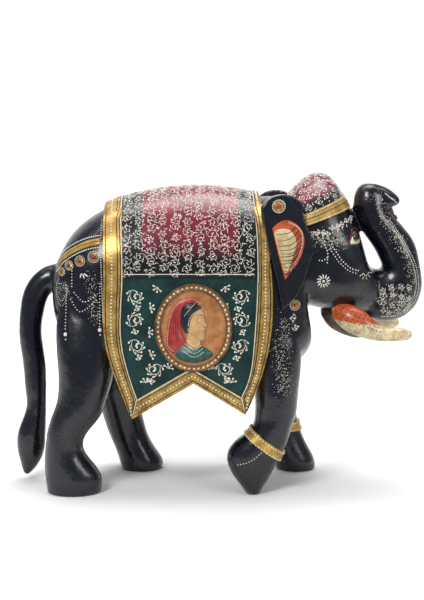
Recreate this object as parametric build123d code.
from build123d import *
import os
from math import cos, radians, sin

# Carved wooden elephant, standing, trunk raised against the forehead.
# Millimetres. +X towards the head, +Y the elephant's left, +Z up.
# Each block, inlay and dowel is a solid of its own.

# ---------------------------------------------------------------- driving dimensions
overall_length = 379.0      # tail to front of trunk
overall_height = 289.0      # soles to top of the cap
body_half_width = 56.0      # barrel of the body, without the cloth

cloth_thickness = 3.0       # painted side cloth over the body
saddle_thickness = 5.0      # upper panel, proud of the side cloth
border_thickness = 5.0      # gold borders and hem
cloth_inner_inset = 2.0     # hanging cloth starts this far inside the barrel side
medallion_relief = 2.0      # portrait disc above the side cloth
ring_relief = 3.5           # ring of the medallion above the side cloth
medallion_radius_x = 34.0
medallion_radius_z = 39.0
ring_width = 5.5
medallion_x = -23.0         # middle of the medallion along the body
medallion_z = 154.0         # and above the soles
saddle_low = 199.0          # level of the step between saddle panel and side cloth

ear_thickness = 9.0
ear_splay = 14.0            # degrees, rear edge of the ear stands out
ear_stand = 2.5             # ear's outer face beyond the barrel, at the ear's middle
fan_relief = 1.5
cap_thickness = 2.5
cap_band_thickness = 4.0
anklet_thickness = 2.0
anklet_height = 9.0

neck_lean = 9.65            # degrees, saw cut between head and body
neck_dowel_radius = 8.0
trunk_dowel_radius = 6.0
leg_dowel_radius = 6.0
tail_dowel_radius = 4.0
ear_dowel_radius = 4.0
tusk_dowel_radius = 3.5

neck_x = 70.5               # where the neck cut crosses the level below
neck_level = 220.0
leg_stance = 40.0           # middle of each leg out from the centre plane
leg_dowel_low = 95.0        # ends of the upright dowels in the legs
leg_dowel_high = 155.0
core_level = 150.0          # below this nothing but the hanging cloth is kept outside the barrel
skirt_level = 60.0          # draped layers are drawn down to here, then trimmed
ear_x = 60.0                # middle of the ear along the body
mouth_radius = 6.0          # scoop under the lip of the trunk's tip

# The section tables and outlines below are laid out on an elephant of this size
# and stretched from it to the driving dimensions.
layout_length = 379.0
layout_height = 289.0
layout_half_width = 56.0
length_scale = overall_length / layout_length
height_scale = overall_height / layout_height
width_scale = body_half_width / layout_half_width
far = 600.0                 # reach of cutting prisms, beyond the whole object


def sx(x):
    return x * length_scale


def sy(y):
    return y * width_scale


def sz(z):
    return z * height_scale


# ---------------------------------------------------------------- section helpers
def barrel_section(x, top, mid, turn, low, half, grow=0.0):
    """Upright section: half ellipse above, straight sides, half ellipse below."""
    a = sy(half) + grow
    zt, zm, zb, zl = sz(top) + grow, sz(mid), sz(turn), sz(low) - grow
    over = EllipticalCenterArc((0, zm), a, zt - zm, start_angle=0, arc_size=180)
    under = EllipticalCenterArc((0, zb), a, zb - zl, start_angle=180, arc_size=180)
    sides = [Line((-a, zm), (-a, zb)), Line((a, zb), (a, zm))]
    face = make_face(Curve() + [over, sides[0], under, sides[1]])
    return Plane(origin=(sx(x), 0, 0), x_dir=(0, 1, 0), z_dir=(1, 0, 0)) * face


def barrel(stations, grow=0.0):
    return loft([barrel_section(*s, grow=grow) for s in stations])


def column(stations, side, grow=0.0):
    """Leg from level oval sections: height, rear, front, distance out, half width."""
    faces = []
    for z, rear, front, out, half in stations:
        oval = Ellipse(sx(front - rear) / 2 + grow, sy(half) + grow)
        faces.append(Pos(sx(front + rear) / 2, side * sy(out), sz(z)) * oval)
    return loft(faces)


def limb(stations):
    """Round limb along a path: x, y, z, radius in the upright plane, radius across."""
    pts = [Vector(sx(x), sy(y), sz(z)) for x, y, z, _, _ in stations]
    faces = []
    for i, (_, _, _, up, across) in enumerate(stations):
        run = pts[min(i + 1, len(pts) - 1)] - pts[max(i - 1, 0)]
        plane = Plane(origin=pts[i], x_dir=run.cross(Vector(0, 1, 0)), z_dir=run)
        faces.append(plane * Ellipse(sz(up), sy(across)))
    return loft(faces)


def side_prism(edges):
    """Closed outline in the X-Z plane carried right across the object."""
    return extrude(Plane.XZ * make_face(Curve() + edges), far / 2, both=True)


def pts(*pairs):
    return [(sx(x), sz(z)) for x, z in pairs]


def peg(start, end, radius):
    """Dowel between two places given on the layout: x, y, z."""
    a, b = (Vector(sx(x), sy(y), sz(z)) for x, y, z in (start, end))
    run = b - a
    return extrude(Plane(origin=a, z_dir=run) * Circle(radius), run.length)


# ---------------------------------------------------------------- body and head
torso_stations = [
    (-152, 200, 186, 180, 160, 22),
    (-146, 215, 187, 172, 140, 36),
    (-134, 234, 192, 160, 122, 46),
    (-118, 248, 198, 150, 110, 53),
    (-95, 261, 203, 145, 104, 56),
    (-50, 271, 205, 145, 102, 56),
    (0, 272, 205, 145, 102, 56),
    (35, 267, 205, 145, 104, 56),
    (60, 267, 205, 145, 108, 53),
    (76, 260, 202, 147, 118, 46),
    (84, 242, 195, 152, 130, 36),
]
head_stations = [
    (54, 264, 214, 200, 174, 49),
    (66, 271, 218, 200, 171, 49),
    (78, 282, 222, 200, 168, 49),
    (90, 286.5, 224, 199, 165, 48),
    (101, 283, 222, 198, 162, 46),
    (112, 269, 216, 196, 160, 43),
    (122, 251, 210, 194, 158, 38),
    (131, 226, 202, 190, 158, 31),
    (139, 203, 192, 184, 162, 25),
    (145, 193, 184, 179, 168, 17),
]


def front_of_neck():
    """Everything ahead of the leaning saw cut between body and head."""
    cut = Pos(sx(neck_x), 0, sz(neck_level)) * Rot(0, -neck_lean, 0)
    return cut * Pos(far / 2, 0, 0) * Box(far, far, far)


def make_lip():
    return barrel([
        (95, 166, 163, 161, 157, 8),
        (104, 168, 160, 155, 145, 14),
        (118, 168, 156, 150, 138, 16),
        (132, 165, 153, 148, 136, 14),
        (139, 160, 152, 148, 141, 8),
    ])


def make_trunk():
    rise = limb([
        (124, 0, 181, 11, 11),
        (134, 0, 179, 16, 15),
        (144, 0, 176, 24, 20),
        (161, 0, 181, 26, 21),
        (168.5, 0, 198, 18.8, 20),
        (166, 0, 212, 17.5, 19),
        (155, 0, 231, 16.5, 18),
        (143, 0, 247, 15.5, 17),
        (138, 0, 263, 15, 16),
        (138, 0, 275, 11, 12),
        (138, 0, 279, 5, 6),
    ])
    tip = limb([
        (134, 0, 264, 12, 13),
        (146, 0, 266, 12, 13),
        (156, 0, 264, 9, 12),
        (165, 0, 262.5, 3, 8),
    ])
    return rise + tip - Pos(sx(162), 0, sz(254)) * Sphere(mouth_radius)


def make_tail():
    return limb([
        (-145, 0, 193, 10, 9),
        (-157, 0, 191, 12, 11),
        (-168, 0, 181, 11.5, 11),
        (-174, 0, 162, 11, 10.5),
        (-176, 0, 138, 10.5, 10.5),
        (-173, 0, 112, 10.5, 10),
        (-172, 0, 88, 10, 10),
        (-172, 0, 68, 9.5, 10),
        (-176.5, 0, 45, 13, 12),
        (-178, 0, 28, 12.5, 11.5),
        (-180, 0, 14, 7.5, 8),
        (-182.5, 0, 5, 2.5, 3),
    ])


def make_tusk():
    return limb([
        (106, -27, 166, 7, 6),
        (113, -31, 162, 10.5, 9),
        (122, -35, 157, 12, 10.5),
        (132, -37, 151, 10, 9),
        (143, -37, 146, 7.4, 7.2),
        (157, -37, 144.5, 6.3, 6.2),
        (168, -37, 144.5, 5.2, 5.2),
        (173, -37, 145, 2.6, 2.8),
    ])


# ---------------------------------------------------------------- legs
near_hind = [
    (0, -157, -108, 41, 19), (10, -158, -107, 41, 20), (24, -159, -113, 41, 19),
    (42, -158, -124, 41, 17), (60, -155, -116, 41, 18), (80, -148, -104, 41, 20),
    (102, -145, -97, 41, 20), (124, -146, -94, 40, 20), (146, -147, -95, 38, 18),
    (166, -145, -99, 35, 15), (182, -138, -106, 33, 11),
]
far_hind = [
    (0, -95, -56, 41, 19), (10, -98, -56, 41, 20), (24, -103, -65, 41, 18),
    (42, -110, -72, 41, 17), (60, -115, -76, 41, 18), (80, -121, -78, 41, 20),
    (102, -126, -80, 41, 20), (124, -129, -82, 40, 20), (146, -130, -85, 38, 18),
    (166, -128, -90, 35, 15), (182, -122, -97, 33, 11),
]
near_front = [
    (0, 23, 38, 40, 13), (8, 18, 42, 40, 16), (18, 11, 48, 40, 17), (30, 7, 54, 40, 18),
    (42, 10, 60, 40, 18), (54, 23, 64, 40, 18), (70, 32, 69, 40, 18), (88, 32, 71, 40, 19),
    (108, 30, 73, 40, 19), (128, 29, 74, 39, 19), (148, 29, 73, 37, 17),
    (166, 32, 69, 34, 14), (180, 38, 62, 32, 10),
]
far_front = [
    (0, 56, 94, 40, 18), (10, 54, 93, 40, 19), (22, 49, 87, 40, 18), (37, 42, 80, 40, 17),
    (52, 38, 76, 40, 17), (70, 35, 74, 40, 18), (90, 33, 73, 40, 18), (110, 32, 73, 40, 19),
    (128, 31, 74, 39, 19), (148, 31, 73, 37, 17), (166, 34, 69, 34, 14),
    (180, 39, 62, 32, 10),
]
legs = {
    # node: sections, side, dowel x, anklet centre (x, z, lean) or none
    "leg_hind_right": (near_hind, -1, -120, None),
    "leg_hind_left": (far_hind, 1, -108, None),
    "leg_front_right": (near_front, -1, 51, (42, 45.5, 37.5)),
    "leg_front_left": (far_front, 1, 52, (59, 44, 0)),
}


def make_anklet(stations, side, place, leg):
    """Raised band round the leg, level or leaning with the bent foot."""
    x, z, lean = place
    slab = Pos(sx(x), side * sy(leg_stance), sz(z)) * Rot(0, lean, 0)
    slab = slab * Box(far / 4, far / 4, anklet_height)
    return (column(stations, side, anklet_thickness) & slab) - leg


# ---------------------------------------------------------------- caparison outlines
def rear_outer():
    return Spline(*pts((-107, 290), (-103, 240), (-102, 195), (-101, 139), (-91, 105), (-78, 72)))


def rear_inner():
    return Spline(*pts((-90, 290), (-86, 239), (-85, 195), (-86, 138), (-81, 115), (-73, 90)))


def front_outer():
    return Spline(*pts((33, 290), (40, 243), (46, 195), (44, 138), (38, 113), (23, 76)))


def front_inner():
    return Spline(*pts((28, 290), (32, 240), (33, 195), (30, 138), (27, 113), (19, 92)))


def band_between(outer, inner):
    """Strip between two edges that both start at the back and end at the hem."""
    ends = [Line(outer @ 0, inner @ 0), Line(outer @ 1, inner @ 1)]
    return side_prism([outer, inner] + ends)


def hem_high():
    return Polyline(*pts((-73, 90), (-25, 118), (19, 92)))


def hem_outline():
    low, high = Polyline(*pts((-78, 72), (-23, 104), (23, 76))), hem_high()
    ends = [Line(low @ 0, high @ 0), Line(low @ 1, high @ 1)]
    return side_prism([low, high] + ends)


def inner_outline():
    rear, front = rear_inner(), front_inner()
    return side_prism([rear, hem_high(), front, Line(rear @ 0, front @ 0)])


def half_space(side):
    return Pos(0, side * far / 2, 0) * Box(far, far, far)


def above(z):
    return Pos(0, 0, sz(z) + far / 2) * Box(far, far, far)


def drape(thickness):
    """Outside of a layer hung over the body: arched top, sides straight down."""
    stations = torso_stations[3:9]
    faces = []
    for x, top, mid, _, _, half in stations:
        a, zt, zm, zl = sy(half) + thickness, sz(top) + thickness, sz(mid), sz(skirt_level)
        over = EllipticalCenterArc((0, zm), a, zt - zm, start_angle=0, arc_size=180)
        skirt = Polyline((-a, zm), (-a, zl), (a, zl), (a, zm))
        face = make_face(Curve() + [over, skirt])
        faces.append(Plane(origin=(sx(x), 0, 0), x_dir=(0, 1, 0), z_dir=(1, 0, 0)) * face)
    return loft(faces)


def oval_prism(shrink=0.0):
    oval = Ellipse(medallion_radius_x - shrink, medallion_radius_z - shrink)
    middle = Plane(origin=(sx(medallion_x), 0, sz(medallion_z)), x_dir=(1, 0, 0), z_dir=(0, -1, 0))
    return extrude(middle * oval, far / 2, both=True)


# ---------------------------------------------------------------- ears
def ear_plane():
    a = radians(ear_splay)
    return Plane(origin=(sx(ear_x), -body_half_width - ear_stand, 0), x_dir=(cos(a), sin(a), 0),
                 z_dir=(sin(a), -cos(a), 0))


def local(*pairs):
    return [(sx(x - ear_x), sz(z)) for x, z in pairs]


def make_ear():
    top = Spline(*local((37, 260), (44, 268), (58, 271), (74, 263)))
    front = Spline(*local((74, 263), (77, 244), (84, 226), (80, 210), (72, 188), (55, 170)))
    rear = Spline(*local((55, 170), (50, 196), (42, 228), (37, 260)))
    return extrude(ear_plane() * make_face(Curve() + [top, front, rear]), -ear_thickness)


def make_fan():
    top = Spline(*local((45, 242), (58, 249), (73, 238)))
    front = Spline(*local((73, 238), (73, 222), (66, 208), (57, 197)))
    rear = Spline(*local((57, 197), (51, 218), (45, 242)))
    return extrude(ear_plane() * make_face(Curve() + [top, front, rear]), fan_relief)


# ---------------------------------------------------------------- cap
def cap_zone():
    edge = pts((40, 244), (78, 254), (122, 273), (150, 310), (40, 310))
    return side_prism([Polyline(*edge, close=True)])


def cap_band_zone():
    edge = pts((40, 244), (78, 254), (122, 273), (127, 261), (79, 244), (40, 234))
    return side_prism([Polyline(*edge, close=True)])


# ---------------------------------------------------------------- assembly
def build():
    parts = {}
    ahead = front_of_neck()
    torso = barrel(torso_stations) - ahead
    head = barrel(head_stations) & ahead

    cloth, thick = drape(cloth_thickness), drape(border_thickness)
    core = Box(far, 2 * (body_half_width - cloth_inner_inset), far)
    hollow = core - above(core_level) + torso
    inside = inner_outline()
    saddle_zone = inside & above(saddle_low)
    side_zone = inside - above(saddle_low)
    rear_zone = band_between(rear_outer(), rear_inner())
    front_zone = band_between(front_outer(), front_inner())
    hem_zone = hem_outline()

    parts["saddle_panel"] = (drape(saddle_thickness) & saddle_zone) - hollow
    parts["border_rear"] = (thick & rear_zone) - hollow
    parts["border_front"] = (thick & front_zone) - hollow
    side_cloths = (cloth & side_zone) - hollow
    hems = (thick & hem_zone) - hollow
    disc = (drape(cloth_thickness + medallion_relief) & oval_prism(ring_width)) - cloth
    disc = disc - hems - above(saddle_low)
    ring_zone = oval_prism() - oval_prism(ring_width) - above(saddle_low)
    ring = (drape(cloth_thickness + ring_relief) & ring_zone) - cloth - hems
    for name, side in (("right", -1), ("left", 1)):
        half = half_space(side)
        parts["side_cloth_" + name] = side_cloths & half
        parts["hem_" + name] = hems & half
        parts["medallion_" + name] = disc & half
        parts["medallion_ring_" + name] = ring & half

    fringe = inside + rear_zone + front_zone + hem_zone
    fringe = fringe - core
    pegs = {}
    for name, (stations, side, peg_x, place) in legs.items():
        leg = column(stations, side) - torso - fringe - head
        if place:
            parts[name.replace("leg_", "anklet_")] = make_anklet(stations, side, place, leg)
        low, high = (peg_x, side * leg_stance, leg_dowel_low), (peg_x, side * leg_stance, leg_dowel_high)
        pegs["dowel_" + name] = peg(low, high, leg_dowel_radius)
        parts[name] = leg

    trunk = make_trunk() - head
    parts["lower_lip"] = make_lip() - head - trunk
    parts["tail"] = make_tail() - torso
    cap = barrel(head_stations, cap_thickness) & ahead & cap_zone()
    band = barrel(head_stations, cap_band_thickness) & ahead & cap_band_zone()
    parts["cap"] = cap - head - trunk
    parts["cap_band"] = band - head - trunk

    ear = make_ear()
    for name in ("border_front", "cap", "cap_band", "leg_front_right"):
        ear = ear - parts[name]
    ear = ear - head - torso
    fan = make_fan() - parts["border_front"] - parts["cap_band"]
    tusk = make_tusk() - head - trunk - parts["lower_lip"]
    ear_peg = peg((70, -28, 225), (70, -52, 225), ear_dowel_radius)
    tusk_peg = peg((104, -24, 167), (128, -36, 153), tusk_dowel_radius)
    for name, flip in (("right", False), ("left", True)):
        for key, solid in (("ear_", ear), ("ear_fan_", fan), ("tusk_", tusk)):
            parts[key + name] = mirror(solid, about=Plane.XZ) if flip else solid
        for key, solid in (("dowel_ear_", ear_peg), ("dowel_tusk_", tusk_peg)):
            pegs[key + name] = mirror(solid, about=Plane.XZ) if flip else solid

    pegs["dowel_neck"] = peg((45, 0, 212), (96, 0, 212), neck_dowel_radius)
    pegs["dowel_trunk"] = peg((116, 0, 179), (154, 0, 179), trunk_dowel_radius)
    pegs["dowel_tail"] = peg((-134, 0, 190), (-160, 0, 190), tail_dowel_radius)
    parts.update(torso=torso, head=head, trunk=trunk)
    for key in list(parts):
        for solid in pegs.values():
            box, other = parts[key].bounding_box(), solid.bounding_box()
            if box.overlaps(other):
                parts[key] = parts[key] - solid
    parts.update(pegs)
    return parts


def settle(parts):
    """Put the middle of the whole object on the origin, soles on Z = 0."""
    box = Compound(children=[Compound(p.solids()) for p in parts.values()]).bounding_box()
    shift = Pos(-(box.min.X + box.max.X) / 2, -(box.min.Y + box.max.Y) / 2, -box.min.Z)
    return {name: shift * part for name, part in parts.items()}


os.makedirs("parts", exist_ok=True)
for name, part in settle(build()).items():
    export_step(part, f"parts/{name}.step")
